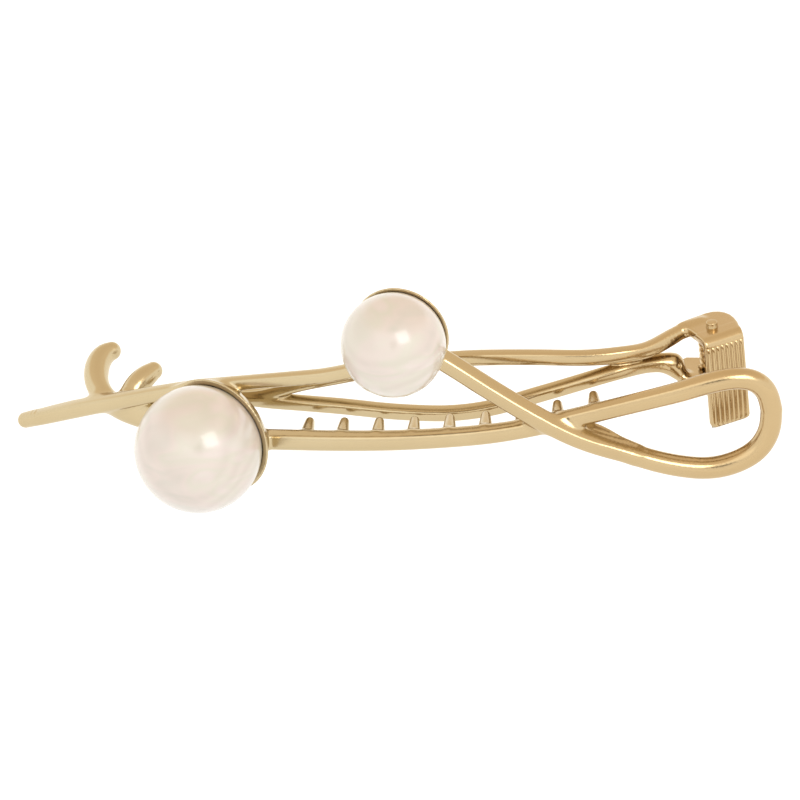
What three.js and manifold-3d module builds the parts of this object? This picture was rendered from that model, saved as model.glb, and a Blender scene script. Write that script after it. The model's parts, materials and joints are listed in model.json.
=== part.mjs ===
// Spring hair clip with two faux pearls, in millimetres.
// X runs along the clip with the hinge at +X, Y runs from the pearls (-Y) to the back (+Y), Z is up as worn.
// The front half is a ribbon of cast rod, the back half is an eye-shaped frame that swings on the hinge pin.
import * as THREE from 'three';
import * as BufferGeometryUtils from 'three/addons/utils/BufferGeometryUtils.js';
import Module from 'manifold-3d';

const wasm = await Module();
wasm.setup();

// Driving dimensions
const GAP = 0.3;
const ARCH_RADIUS = 130;
const ARCH_CENTRE_X = 6;
const FRONT_ROD = { wide: 1.4, deep: 1.25 };
const TAIL_ROD = { wide: 1.12, deep: 1.1 };
const BACK_ROD = { wide: 1.08, deep: 1.0 };
const BACK_OFFSET = 7.2;
const PEG_RADIUS = 0.9;
const LARGE = { radius: 8.4, wall: 0.7, centre: [-27.1, -1.8, -6.7], turn: 24 };
const SMALL = { radius: 6.8, wall: 0.5, centre: [0.9, -4.9, 10.8], turn: 8 };
const CUP_RIM_ANGLE = 30;
const TOOTH = { count: 9, pitch: 4.85, first: -13.4, root: 0.72, tip: 0.32, length: 3.9 };
const HINGE = { x: 39.2, y: 15.2 };
const PIN_RADIUS = 0.75;
const PIN_HEAD = { overhang: 0.35, height: 0.5, chamfer: 0.15 };
const PIN_STUB = { height: 1.0, chamfer: 0.1 };
const EAR = { top: -4.7, thick: 1.4, radius: 2.1, left: 3.9, neck: 2.2, neckY: 11.0 };
const WEB = { rootY: 6.1, rootBottom: -2.2, rootTop: 0.6, overlap: 1.0 };
const UPPER_LUG = { bottom: 1.9, thick: 1.3, right: 4.4, back: 4.9, left: 3.4 };
const UPPER_LUG_ARM = { shoulder: 2.0, back: 2.6, front: 0.2 };
const LOWER_LUG = { top: -3.0, thick: 1.4, radius: 2.3, left: 5.0 };
const LOWER_LUG_CORNER = { taper: 0.4, inwards: 1.2, back: 0.6 };
const TAB = { x: 39.8, y: 11.0, turn: 38, width: 5.6, thick: 1.0, top: 3.2, bottom: -9.5 };
const TAB_RIBS = { count: 8, height: 0.24 };
const SPRING = { radius: 1.5, wire: 0.3, turns: 4.75, bottom: -2.35, top: 1.3 };
const PALM_ROD = { wide: 2.3, deep: 1.0 };
const LONG_PRONG_ROD = { wide: 1.5, deep: 1.25 };
const SHORT_PRONG_ROD = { wide: 1.1, deep: 1.1 };
const PRONG_TIP_SCALE = 0.6;
const BACK_TIP_ROD = { wide: 1.7, deep: 0.95 };
const BEAD_BORE_SHARE = 0.3;
const PEG_SHARE = 0.55;
const ROD_SIDES = 10;
const WIRE_SIDES = 6;
const SPHERE_SEGMENTS = 24;

const gold = new THREE.MeshStandardMaterial({ color: 0xdcb98a, roughness: 0.2, metalness: 1 });
const pearl = new THREE.MeshStandardMaterial({ color: 0xf1e9e0, roughness: 0.25, metalness: 0 });
const glue = new THREE.MeshStandardMaterial({ color: 0xe9e2cf, roughness: 0.4, metalness: 0 });

const model = new THREE.Group();

function piece(name, geometry, material, x = 0, y = 0, z = 0) {
  const mesh = new THREE.Mesh(geometry, material);
  mesh.name = name;
  mesh.position.set(x, y, z);
  return mesh;
}

// Solids for the booleans
function toSolid(geometry) {
  const bare = geometry.clone();
  bare.deleteAttribute('normal');
  bare.deleteAttribute('uv');
  const merged = BufferGeometryUtils.mergeVertices(bare, 1e-4);
  const vertProperties = new Float32Array(merged.attributes.position.array);
  const triVerts = new Uint32Array(merged.index.array);
  return new wasm.Manifold(new wasm.Mesh({ numProp: 3, vertProperties, triVerts }));
}

function toGeometry(solid) {
  const mesh = solid.getMesh();
  const geometry = new THREE.BufferGeometry();
  geometry.setAttribute('position', new THREE.BufferAttribute(new Float32Array(mesh.vertProperties), 3));
  geometry.setIndex(new THREE.BufferAttribute(new Uint32Array(mesh.triVerts), 1));
  geometry.computeVertexNormals();
  return geometry;
}

function cut(geometry, ...tools) {
  let solid = toSolid(geometry);
  for (const tool of tools) {
    solid = solid.subtract(toSolid(tool));
  }
  return toGeometry(solid);
}

function join(first, ...others) {
  let solid = toSolid(first);
  for (const other of others) {
    solid = solid.add(toSolid(other));
  }
  return toGeometry(solid);
}

// The front half lies on a gentle arch that follows the head
function archY(x) {
  return (x - ARCH_CENTRE_X) ** 2 / (2 * ARCH_RADIUS);
}

// Points given as [x, z] lie on the arch, and a third value moves them further back
function archCurve(points) {
  const onArch = points.map(([x, z, back = 0]) => new THREE.Vector3(x, archY(x) + back, z));
  return new THREE.CatmullRomCurve3(onArch);
}

function rod(curve, steps, section, sides = ROD_SIDES) {
  const outline = new THREE.Shape();
  outline.absellipse(0, 0, section.wide, section.deep, 0, 2 * Math.PI);
  return new THREE.ExtrudeGeometry(outline, { steps, curveSegments: sides / 2, extrudePath: curve });
}

// A stretch of a longer curve, from fraction a to fraction b of its length
function stretch(curve, a, b, count = 13) {
  const points = [];
  for (let i = 0; i < count; i += 1) {
    points.push(curve.getPointAt(a + ((b - a) * i) / (count - 1)));
  }
  return new THREE.CatmullRomCurve3(points);
}

// Splits a curve into rods with a small gap between them
function addRods(names, curve, stepsEach, section, tools = []) {
  const half = GAP / curve.getLength();
  names.forEach((name, i) => {
    const start = i / names.length + half;
    const end = (i + 1) / names.length - half;
    model.add(piece(name, cut(rod(stretch(curve, start, end), stepsEach, section), ...tools), gold));
  });
}

function ball(radius, centre) {
  const sphere = new THREE.SphereGeometry(radius, SPHERE_SEGMENTS, SPHERE_SEGMENTS / 2);
  sphere.translate(...centre);
  return sphere;
}

// Pearls and cups: the cup is a dish behind the pearl, open towards the front
function dishArc(radius) {
  const steps = 6;
  const start = THREE.MathUtils.degToRad(CUP_RIM_ANGLE);
  const points = [];
  for (let i = 0; i <= steps; i += 1) {
    const angle = start + ((Math.PI / 2 - start) * i) / steps;
    points.push(new THREE.Vector2(i === steps ? 0 : radius * Math.cos(angle), radius * Math.sin(angle)));
  }
  return points;
}

function cupOuterRadius(size) {
  return size.radius + GAP + size.wall;
}

function disc(radius, near, far) {
  const geometry = new THREE.CylinderGeometry(radius, radius, far - near, 12);
  geometry.translate(0, (near + far) / 2, 0);
  return geometry;
}

// The cup has a peg that enters a blind bore in the pearl, and the adhesive fills the bore's end
function addPearl(label, size) {
  const inner = size.radius + GAP;
  const boreEnd = size.radius * BEAD_BORE_SHARE;
  const pegEnd = size.radius * PEG_SHARE;
  const bore = disc(PEG_RADIUS + GAP, boreEnd, size.radius + 1);
  const profile = [...dishArc(cupOuterRadius(size)), ...dishArc(inner).reverse()];
  profile.push(profile[0].clone());
  const cup = join(
    new THREE.LatheGeometry(profile, SPHERE_SEGMENTS),
    disc(PEG_RADIUS, pegEnd, inner + size.wall / 2)
  );
  const bead = new THREE.SphereGeometry(size.radius, SPHERE_SEGMENTS, SPHERE_SEGMENTS / 2);
  const seat = new THREE.Group();
  seat.position.set(...size.centre);
  seat.rotation.set(0, 0, -THREE.MathUtils.degToRad(size.turn));
  model.add(seat);
  seat.add(piece(`${label}_cup`, cup, gold));
  seat.add(piece(`${label}_pearl`, cut(bead, bore), pearl));
  seat.add(piece(`${label}_adhesive`, disc(PEG_RADIUS, boreEnd + GAP, pegEnd - GAP), glue));
}

addPearl('large', LARGE);
addPearl('small', SMALL);
const cupSpaces = [LARGE, SMALL].map((size) => ball(cupOuterRadius(size) + GAP, size.centre));

// Front half: the ribbon, as rods that meet end to end
const upperStrand = archCurve([[-23.5, 0.3], [-14.8, 2.1], [-9.2, 3.2], [-4, 5.2], [0, 8.6]]);
const tail = archCurve([[-52.6, -10.7], [-45.5, -7.4], [-37.5, -4.2], [-31.2, -1.9]]);
const crossRod = archCurve([[1, 9.6], [6.7, 5.7], [12.2, 1.8], [16.7, -1.5], [22.3, -5.2], [27, -7.6]]);
const endLoop = archCurve([
  [27, -7.6], [32.7, -10.4], [37, -11.7], [41, -11.8], [45.4, -9.8],
  [47.9, -5], [47.2, -1.4], [44.6, 0.6], [40, 0.5], [36.7, -0.2]
]);
const returnStrand = archCurve([[36.7, -0.2], [33.4, -0.8], [27.3, -2.1], [22, -3.3]]);
const lowerStrand = archCurve([
  [20, -3.8], [15.6, -4.4], [10.8, -5.0], [0, -6.0], [-8.6, -6.5], [-18.4, -7.3]
]);

// The room a rod takes up with a gap all round, for cutting its neighbours
function spaceAround(curve, steps, section) {
  return rod(curve, steps, { wide: section.wide + GAP, deep: section.deep + GAP });
}

const crossSpace = spaceAround(crossRod, 24, FRONT_ROD);

addRods(['front_tail'], tail, 10, TAIL_ROD, [cupSpaces[0]]);
addRods(['front_upper_strand'], upperStrand, 9, TAIL_ROD, cupSpaces);
addRods(['front_cross_rod_upper', 'front_cross_rod_lower'], crossRod, 6, FRONT_ROD, [cupSpaces[1]]);
addRods(['end_loop_lower', 'end_loop_turn', 'end_loop_upper'], endLoop, 7, FRONT_ROD);
addRods(['front_return_strand'], returnStrand, 6, FRONT_ROD, [crossSpace]);
addRods(['front_lower_strand_middle', 'front_lower_strand_pearl'], lowerStrand, 7, FRONT_ROD,
  [cupSpaces[0], crossSpace]);

// Comb teeth on the back of the lower strand, each a cone with a domed tip
function toothGeometry() {
  const profile = [new THREE.Vector2(0, 0), new THREE.Vector2(TOOTH.root, 0)];
  const domeSteps = 3;
  for (let i = 0; i <= domeSteps; i += 1) {
    const angle = (Math.PI / 2) * (i / domeSteps);
    const radius = i === domeSteps ? 0 : TOOTH.tip * Math.cos(angle);
    profile.push(new THREE.Vector2(radius, TOOTH.length - TOOTH.tip + TOOTH.tip * Math.sin(angle)));
  }
  return new THREE.LatheGeometry(profile, 10);
}

function lowerStrandZ(x) {
  let best = lowerStrand.getPointAt(0);
  for (let i = 1; i <= 200; i += 1) {
    const point = lowerStrand.getPointAt(i / 200);
    if (Math.abs(point.x - x) < Math.abs(best.x - x)) {
      best = point;
    }
  }
  return best.z;
}

for (let i = 0; i < TOOTH.count; i += 1) {
  const x = TOOTH.first + i * TOOTH.pitch;
  const root = archY(x) + FRONT_ROD.wide + GAP;
  const tooth = piece(`comb_tooth_${i + 1}`, toothGeometry(), gold, x, root, lowerStrandZ(x));
  model.add(tooth);
}

// Claw behind the free tail: a palm from the large cup, then two prongs that curl back and inwards
function curve3(points) {
  return new THREE.CatmullRomCurve3(points.map((point) => new THREE.Vector3(...point)));
}

// A rod whose section shrinks from its start to a rounded tip
function taperedRod(points, steps, section, tipScale) {
  const curve = curve3(points);
  const geometry = rod(curve, steps, section);
  const position = geometry.attributes.position;
  const vertex = new THREE.Vector3();
  for (let i = 0; i < position.count; i += 1) {
    vertex.fromBufferAttribute(position, i);
    let nearest = 0;
    let shortest = Infinity;
    for (let step = 0; step <= steps; step += 1) {
      const distance = curve.getPointAt(step / steps).distanceTo(vertex);
      if (distance < shortest) {
        shortest = distance;
        nearest = step / steps;
      }
    }
    const along = THREE.MathUtils.smoothstep(nearest, 0.35, 1);
    vertex.sub(curve.getPointAt(nearest));
    vertex.multiplyScalar(1 + (tipScale - 1) * along);
    vertex.add(curve.getPointAt(nearest));
    position.setXYZ(i, vertex.x, vertex.y, vertex.z);
  }
  return geometry;
}

const palmCurve = curve3([[-32.6, 7.6, -6.6], [-35.5, 8.6, -6.4], [-38.5, 10.0, -6.0]]);
const longProngPoints = [
  [-38.7, 10.3, -6.0], [-41.6, 11.7, -5.5], [-43.7, 14.3, -5.0], [-43.9, 17.2, -4.2], [-41.2, 19.0, -2.9]
];
const shortProngPoints = [[-37.4, 10.8, -4.4], [-37.6, 12.6, -3.7], [-36.4, 14.2, -3.1], [-34.6, 14.9, -2.8]];
const palm = rod(palmCurve, 5, PALM_ROD);
const palmSpace = spaceAround(palmCurve, 5, PALM_ROD);
const longProng = taperedRod(longProngPoints, 12, LONG_PRONG_ROD, PRONG_TIP_SCALE);
const shortProng = taperedRod(shortProngPoints, 9, SHORT_PRONG_ROD, PRONG_TIP_SCALE);
model.add(piece('claw_palm', cut(palm, cupSpaces[0]), gold));
model.add(piece('claw_prong_long', cut(longProng, palmSpace), gold));
model.add(piece('claw_prong_short', cut(shortProng, palmSpace), gold));

// A level plate with a round hole on the hinge axis
function plate(outline, thick, holeRadius) {
  const hole = new THREE.Path();
  hole.absarc(HINGE.x, HINGE.y, holeRadius, 0, 2 * Math.PI);
  outline.holes.push(hole);
  return new THREE.ExtrudeGeometry(outline, { depth: thick, bevelEnabled: false, curveSegments: 10 });
}

// Front hinge ear: a flat plate around the pin with a web up to the lower strand
const earLeft = HINGE.x - EAR.left;
const earNeck = HINGE.x - EAR.neck;
const earFront = HINGE.y - EAR.radius;
const earBack = HINGE.y + EAR.radius;
const earBottom = EAR.top - EAR.thick;
const earOutline = new THREE.Shape();
earOutline.moveTo(earLeft, EAR.neckY);
earOutline.lineTo(earNeck, EAR.neckY);
earOutline.quadraticCurveTo(earNeck, earFront, HINGE.x, earFront);
earOutline.absarc(HINGE.x, HINGE.y, EAR.radius, -Math.PI / 2, Math.PI / 2);
earOutline.quadraticCurveTo(earLeft, earBack, earLeft, EAR.neckY);
const ear = plate(earOutline, EAR.thick, PIN_RADIUS + GAP);
ear.translate(0, 0, earBottom);

// The web's outline is drawn in depth and height, then stood on its side
const webOutline = new THREE.Shape();
webOutline.moveTo(WEB.rootY, WEB.rootBottom);
webOutline.lineTo(EAR.neckY, earBottom);
webOutline.lineTo(EAR.neckY + WEB.overlap, earBottom);
webOutline.lineTo(EAR.neckY + WEB.overlap, EAR.top);
webOutline.lineTo(EAR.neckY, EAR.top);
webOutline.lineTo(WEB.rootY, WEB.rootTop);
const web = new THREE.ExtrudeGeometry(webOutline, { depth: EAR.left - EAR.neck, bevelEnabled: false });
web.applyMatrix4(new THREE.Matrix4().makeBasis(
  new THREE.Vector3(0, 1, 0), new THREE.Vector3(0, 0, 1), new THREE.Vector3(1, 0, 0)
));
web.translate(earLeft, 0, 0);
const loopSpace = spaceAround(endLoop, 24, FRONT_ROD);
const returnSpace = spaceAround(returnStrand, 24, FRONT_ROD);
model.add(piece('front_hinge_ear', cut(join(ear, web), loopSpace, returnSpace), gold));

// Back half: an eye-shaped frame whose strands meet at the tip and again before the hinge
function backCurve(points) {
  return archCurve(points.map(([x, z, back = 0]) => [x, z, BACK_OFFSET + back]));
}

const backTip = backCurve([[-31, -5.6], [-26, -5.4], [-20.6, -5.0]]);
const backUpper = backCurve([
  [-20.2, -4.6], [-15, -2.5], [-8.7, -0.7], [-2, 1.1], [7, 2.4], [16.2, 2.5], [23.5, 2.1], [27.5, 1.9, 0.4]
]);
const backLower = backCurve([
  [-20.2, -5.6], [-15.2, -5.6], [-9.6, -5.7], [-2, -6.1],
  [5.4, -5.6], [11, -4.4], [15.8, -2.7], [20, -1.5], [25.6, 0]
]);
const upperArm = curve3([[28, 11.0, 1.9], [31, 12.8, 2.1], [33.6, 14.8, 2.5], [35.5, 16.2, 2.6]]);
const lowerArm = curve3([[28, 10.9, 0.4], [31, 12.3, -0.3], [34.6, 14.2, -1.6]]);
const backUpperSpace = spaceAround(backUpper, 24, BACK_ROD);
const upperArmSpace = spaceAround(upperArm, 8, BACK_ROD);

addRods(['back_tip'], backTip, 4, BACK_TIP_ROD);
addRods(['back_upper_strand_tip', 'back_upper_strand_hinge'], backUpper, 8, BACK_ROD);
addRods(['back_lower_strand_tip', 'back_lower_strand_hinge'], backLower, 8, BACK_ROD, [backUpperSpace]);
addRods(['upper_hinge_arm'], upperArm, 6, BACK_ROD);
addRods(['lower_hinge_arm'], lowerArm, 6, BACK_ROD, [upperArmSpace, backUpperSpace]);

// Hinge lugs of the back half: flat plates above and below the spring
const tabAngle = THREE.MathUtils.degToRad(TAB.turn);
// A point on the tab: along its width, then in from its front face
function tabPoint(along, inwards) {
  const x = TAB.x + along * Math.cos(tabAngle) - inwards * Math.sin(tabAngle);
  const y = TAB.y + along * Math.sin(tabAngle) + inwards * Math.cos(tabAngle);
  return [x, y];
}
const upperLugLeft = HINGE.x - UPPER_LUG.left;
const upperLugRight = HINGE.x + UPPER_LUG.right;
const upperLugBack = HINGE.y + UPPER_LUG.back;
const shoulderX = HINGE.x - UPPER_LUG_ARM.shoulder;
const upperLugOutline = new THREE.Shape();
upperLugOutline.moveTo(...tabPoint(0, TAB.thick + GAP));
upperLugOutline.lineTo(...tabPoint(TAB.width, TAB.thick + GAP));
upperLugOutline.quadraticCurveTo(upperLugRight, upperLugBack, HINGE.x, upperLugBack);
upperLugOutline.quadraticCurveTo(shoulderX, upperLugBack, upperLugLeft, HINGE.y + UPPER_LUG_ARM.back);
upperLugOutline.lineTo(upperLugLeft, HINGE.y - UPPER_LUG_ARM.front);
const upperLug = plate(upperLugOutline, UPPER_LUG.thick, PIN_RADIUS + GAP);
upperLug.translate(0, 0, UPPER_LUG.bottom);
model.add(piece('upper_hinge_lug', upperLug, gold));

const lowerLugLeft = HINGE.x - LOWER_LUG.left;
const lowerLugFront = HINGE.y - LOWER_LUG.radius;
const lowerLugBack = HINGE.y + LOWER_LUG.radius;
const lowerLugOutline = new THREE.Shape();
lowerLugOutline.moveTo(lowerLugLeft, lowerLugFront + LOWER_LUG_CORNER.taper);
lowerLugOutline.lineTo(HINGE.x, lowerLugFront);
lowerLugOutline.absarc(HINGE.x, HINGE.y, LOWER_LUG.radius, -Math.PI / 2, Math.PI / 2);
lowerLugOutline.lineTo(lowerLugLeft + LOWER_LUG_CORNER.inwards, lowerLugBack + LOWER_LUG_CORNER.back);
const lowerLug = plate(lowerLugOutline, LOWER_LUG.thick, PIN_RADIUS + GAP);
lowerLug.translate(0, 0, LOWER_LUG.top - LOWER_LUG.thick);
model.add(piece('lower_hinge_lug', lowerLug, gold));

// Thumb tab: a plate turned to face forwards and outwards, with vertical ribs on its front
const ribPitch = TAB.width / TAB_RIBS.count;
const tabOutline = new THREE.Shape();
tabOutline.moveTo(0, TAB.thick);
tabOutline.lineTo(0, TAB_RIBS.height);
for (let i = 0; i < TAB_RIBS.count; i += 1) {
  tabOutline.lineTo((i + 0.2) * ribPitch, TAB_RIBS.height);
  tabOutline.lineTo((i + 0.4) * ribPitch, 0);
  tabOutline.lineTo((i + 0.75) * ribPitch, 0);
  tabOutline.lineTo((i + 0.95) * ribPitch, TAB_RIBS.height);
}
tabOutline.lineTo(TAB.width, TAB_RIBS.height);
tabOutline.lineTo(TAB.width, TAB.thick);
const tabHeight = TAB.top - TAB.bottom;
const tabGeometry = new THREE.ExtrudeGeometry(tabOutline, { depth: tabHeight, bevelEnabled: false });
const tab = piece('thumb_tab', tabGeometry, gold, TAB.x, TAB.y, TAB.bottom);
tab.rotation.z = tabAngle;
model.add(tab);

// Hinge pin: a straight shank with a head below the ear and a plain stub above the upper lug
function pinGeometry() {
  const headRadius = PIN_RADIUS + PIN_HEAD.overhang;
  const headTop = earBottom - GAP;
  const headBottom = headTop - PIN_HEAD.height;
  const stubTop = UPPER_LUG.bottom + UPPER_LUG.thick + PIN_STUB.height;
  const profile = [
    [0, headBottom],
    [headRadius - PIN_HEAD.chamfer, headBottom],
    [headRadius, headBottom + PIN_HEAD.chamfer],
    [headRadius, headTop],
    [PIN_RADIUS, headTop],
    [PIN_RADIUS, stubTop - PIN_STUB.chamfer],
    [PIN_RADIUS - PIN_STUB.chamfer, stubTop],
    [0, stubTop]
  ].map(([radius, height]) => new THREE.Vector2(radius, height));
  return new THREE.LatheGeometry(profile, 20);
}
const pinBody = pinGeometry();
pinBody.rotateX(Math.PI / 2);
model.add(piece('hinge_pin', pinBody, gold, HINGE.x, HINGE.y, 0));

// Torsion spring: a coil around the pin, between the two lugs
function springCurve() {
  const points = [];
  const perTurn = 12;
  const steps = Math.round(SPRING.turns * perTurn);
  for (let i = 0; i <= steps; i += 1) {
    const angle = Math.PI + (2 * Math.PI * i) / perTurn;
    const z = SPRING.bottom + ((SPRING.top - SPRING.bottom) * i) / steps;
    points.push(new THREE.Vector3(SPRING.radius * Math.cos(angle), SPRING.radius * Math.sin(angle), z));
  }
  return points;
}
const coil = springCurve();
const wireSection = { wide: SPRING.wire, deep: SPRING.wire };
const wire = rod(new THREE.CatmullRomCurve3(coil), coil.length - 1, wireSection, WIRE_SIDES);
model.add(piece('torsion_spring', wire, gold, HINGE.x, HINGE.y, 0));

// The origin is at the middle of the clip's footprint, level with its lowest point
const bounds = new THREE.Box3().setFromObject(model, true);
const middle = bounds.getCenter(new THREE.Vector3());
model.position.set(-middle.x, -middle.y, -bounds.min.z);

export default model;
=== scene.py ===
"""Spring hair clip with two faux pearls: the visual model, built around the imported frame."""
import json
import math

import bmesh
import bpy
import numpy as np
from mathutils import Matrix, Vector

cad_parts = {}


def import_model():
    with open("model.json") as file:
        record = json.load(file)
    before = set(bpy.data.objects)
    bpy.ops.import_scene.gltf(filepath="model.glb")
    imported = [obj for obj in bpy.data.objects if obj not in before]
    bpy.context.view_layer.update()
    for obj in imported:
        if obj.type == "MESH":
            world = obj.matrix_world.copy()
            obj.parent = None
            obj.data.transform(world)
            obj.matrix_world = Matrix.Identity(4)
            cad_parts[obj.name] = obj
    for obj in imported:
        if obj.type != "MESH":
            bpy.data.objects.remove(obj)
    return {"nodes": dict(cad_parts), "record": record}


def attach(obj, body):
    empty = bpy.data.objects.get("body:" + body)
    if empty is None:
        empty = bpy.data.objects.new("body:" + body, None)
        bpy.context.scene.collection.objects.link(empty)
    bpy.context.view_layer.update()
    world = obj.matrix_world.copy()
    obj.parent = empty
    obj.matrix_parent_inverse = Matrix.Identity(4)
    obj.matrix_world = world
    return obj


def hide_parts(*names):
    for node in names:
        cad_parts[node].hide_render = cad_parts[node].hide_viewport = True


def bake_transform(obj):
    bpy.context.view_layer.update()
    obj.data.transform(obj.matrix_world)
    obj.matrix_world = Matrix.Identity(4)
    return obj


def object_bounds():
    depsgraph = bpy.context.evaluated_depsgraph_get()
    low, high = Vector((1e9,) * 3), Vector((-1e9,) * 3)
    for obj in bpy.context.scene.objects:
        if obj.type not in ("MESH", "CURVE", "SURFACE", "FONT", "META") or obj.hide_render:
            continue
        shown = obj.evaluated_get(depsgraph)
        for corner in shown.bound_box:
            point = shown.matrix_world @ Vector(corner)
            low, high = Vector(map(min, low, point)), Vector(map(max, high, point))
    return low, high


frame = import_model()
CAD_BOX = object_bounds()

# Shapes are written in millimetres, in the design frame whose hinge axis is at HINGE
HINGE = (39.2, 15.2, 0.0)
MM = 0.001
JOINT_AT = frame["record"]["behaviour"]["joints"][0]["pos_m"]
SHIFT = np.array([JOINT_AT[i] / MM - HINGE[i] for i in range(3)])
FLOOR_Z = CAD_BOX[0][2]

ARCH_RADIUS = 130.0
ARCH_CENTRE_X = 6.0
BACK_OFFSET = 7.2
LARGE = {"radius": 8.4, "wall": 0.75, "centre": (-27.1, -1.8, -6.7), "turn": 24.0}
SMALL = {"radius": 6.9, "wall": 0.5, "centre": (0.78, -4.9, 10.83), "turn": 8.0}
# How far out the crest of a rod sits, in radii: a soft peak, and far enough out that the rod is round
RIDGED, ROUND = 0.86, 1.2
# Spacing of the grids that the castings are made on
FRONT_GRID = 0.17
BACK_GRID = 0.15


# Curves -------------------------------------------------------------------------------------------

def arch_y(x):
    """Depth of the front half's arch at x."""
    return (x - ARCH_CENTRE_X) ** 2 / (2 * ARCH_RADIUS)


def on_arch(rows, back=0.0):
    """Rows of x, z, radius, extra depth and crest, laid on the arch as x, y, z, radius, crest.

    The crest is how far out the soft peak of the section sits, in radii: past 1.1 the rod is round.
    """
    out = []
    for row in rows:
        extra = row[3] if len(row) > 3 else 0.0
        crest = row[4] if len(row) > 4 else RIDGED
        out.append((row[0], arch_y(row[0]) + back + extra, row[1], row[2], crest))
    return out


def spline(rows, step=0.6):
    """A smooth line through rows (centripetal Catmull-Rom), sampled about every step millimetres."""
    p = np.array(rows, float)
    p = np.vstack([2 * p[0] - p[1], p, 2 * p[-1] - p[-2]])
    out = []
    for i in range(1, len(p) - 2):
        a, b, c, d = p[i - 1], p[i], p[i + 1], p[i + 2]
        gaps = [max(np.linalg.norm((v - u)[:3]), 1e-6) ** 0.5 for u, v in ((a, b), (b, c), (c, d))]
        t0, t1 = 0.0, gaps[0]
        t2 = t1 + gaps[1]
        t3 = t2 + gaps[2]
        count = max(2, int(round(np.linalg.norm((c - b)[:3]) / step)))
        for t in np.linspace(t1, t2, count, endpoint=False):
            ab = (a * (t1 - t) + b * (t - t0)) / (t1 - t0)
            bc = (b * (t2 - t) + c * (t - t1)) / (t2 - t1)
            cd = (c * (t3 - t) + d * (t - t2)) / (t3 - t2)
            abc = (ab * (t2 - t) + bc * (t - t0)) / (t2 - t0)
            bcd = (bc * (t3 - t) + cd * (t - t1)) / (t3 - t1)
            out.append((abc * (t2 - t) + bcd * (t - t1)) / (t2 - t1))
    out.append(p[-2])
    return np.array(out)


# A solid as a distance field on a grid, with soft joins -------------------------------------------

def soft_min(a, b, width):
    """The smaller of two distances, with a fillet of about that width."""
    near = np.maximum(width - np.abs(a - b), 0.0) / width
    return np.minimum(a, b) - near * near * width * 0.25


def soft_max(a, b, width):
    """The larger of two distances, with a rounded edge of about that width."""
    return -soft_min(-a, -b, width)


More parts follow.
